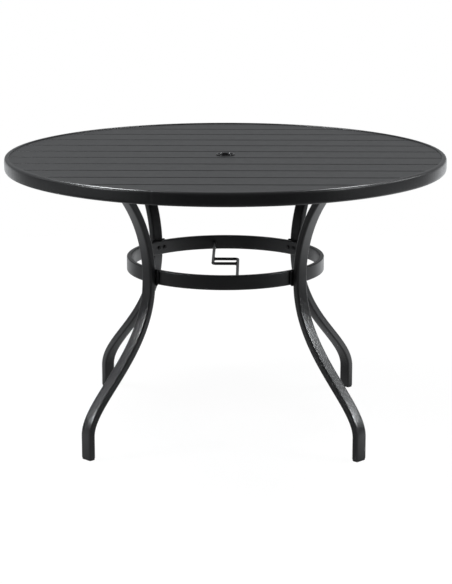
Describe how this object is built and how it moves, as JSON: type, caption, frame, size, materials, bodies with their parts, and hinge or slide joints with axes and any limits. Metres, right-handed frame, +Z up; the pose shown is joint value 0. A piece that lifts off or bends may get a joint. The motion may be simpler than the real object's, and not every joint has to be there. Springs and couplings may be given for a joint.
{
  "type": "umbrella table",
  "caption": "Round slatted garden table with a rolled tube rim, an umbrella hole, bowed tube legs, a brace ring and bent rods that steady the umbrella pole.",
  "frame": {"origin": "on the ground, under the middle of the tabletop", "axes": "+Z up, slats along X, front towards -Y"},
  "size_m": [1.168, 1.168, 0.738],
  "materials": {
    "frame_paint": "satin black powder coat",
    "slat_paint": "satin black powder coat",
    "cap_plastic": "moulded black plastic",
    "sleeve_plastic": "gloss black moulded plastic",
    "fastener_steel": "black coated steel"
  },
  "bodies": {
    "root": {"tabletop_rim": "frame_paint", "slat_01": "slat_paint", "slat_02": "slat_paint", "slat_03": "slat_paint", "slat_04": "slat_paint", "slat_05": "slat_paint", "slat_06": "slat_paint", "slat_07": "slat_paint", "slat_08": "slat_paint", "slat_09": "slat_paint", "slat_10": "slat_paint", "slat_11": "slat_paint", "rail_left": "frame_paint", "rail_right": "frame_paint", "umbrella_hole_sleeve": "sleeve_plastic", "umbrella_hole_stiffener": "frame_paint", "leg_front_left": "frame_paint", "foot_cap_front_left": "cap_plastic", "ring_bracket_front_left": "frame_paint", "leg_tapped_strip_front_left": "fastener_steel", "ring_bolt_front_left_1": "fastener_steel", "ring_bolt_front_left_2": "fastener_steel", "leg_plate_front_left": "frame_paint", "rail_tapped_strip_front_left": "fastener_steel", "leg_plate_bolt_front_left_1": "fastener_steel", "leg_plate_bolt_front_left_2": "fastener_steel", "leg_front_right": "frame_paint", "foot_cap_front_right": "cap_plastic", "ring_bracket_front_right": "frame_paint", "leg_tapped_strip_front_right": "fastener_steel", "ring_bolt_front_right_1": "fastener_steel", "ring_bolt_front_right_2": "fastener_steel", "leg_plate_front_right": "frame_paint", "rail_tapped_strip_front_right": "fastener_steel", "leg_plate_bolt_front_right_1": "fastener_steel", "leg_plate_bolt_front_right_2": "fastener_steel", "leg_rear_right": "frame_paint", "foot_cap_rear_right": "cap_plastic", "ring_bracket_rear_right": "frame_paint", "leg_tapped_strip_rear_right": "fastener_steel", "ring_bolt_rear_right_1": "fastener_steel", "ring_bolt_rear_right_2": "fastener_steel", "leg_plate_rear_right": "frame_paint", "rail_tapped_strip_rear_right": "fastener_steel", "leg_plate_bolt_rear_right_1": "fastener_steel", "leg_plate_bolt_rear_right_2": "fastener_steel", "leg_rear_left": "frame_paint", "foot_cap_rear_left": "cap_plastic", "ring_bracket_rear_left": "frame_paint", "leg_tapped_strip_rear_left": "fastener_steel", "ring_bolt_rear_left_1": "fastener_steel", "ring_bolt_rear_left_2": "fastener_steel", "leg_plate_rear_left": "frame_paint", "rail_tapped_strip_rear_left": "fastener_steel", "leg_plate_bolt_rear_left_1": "fastener_steel", "leg_plate_bolt_rear_left_2": "fastener_steel", "brace_ring": "frame_paint", "pole_guide_rod_rear": "frame_paint", "pole_guide_rod_front": "frame_paint"}
  },
  "joints": []
}
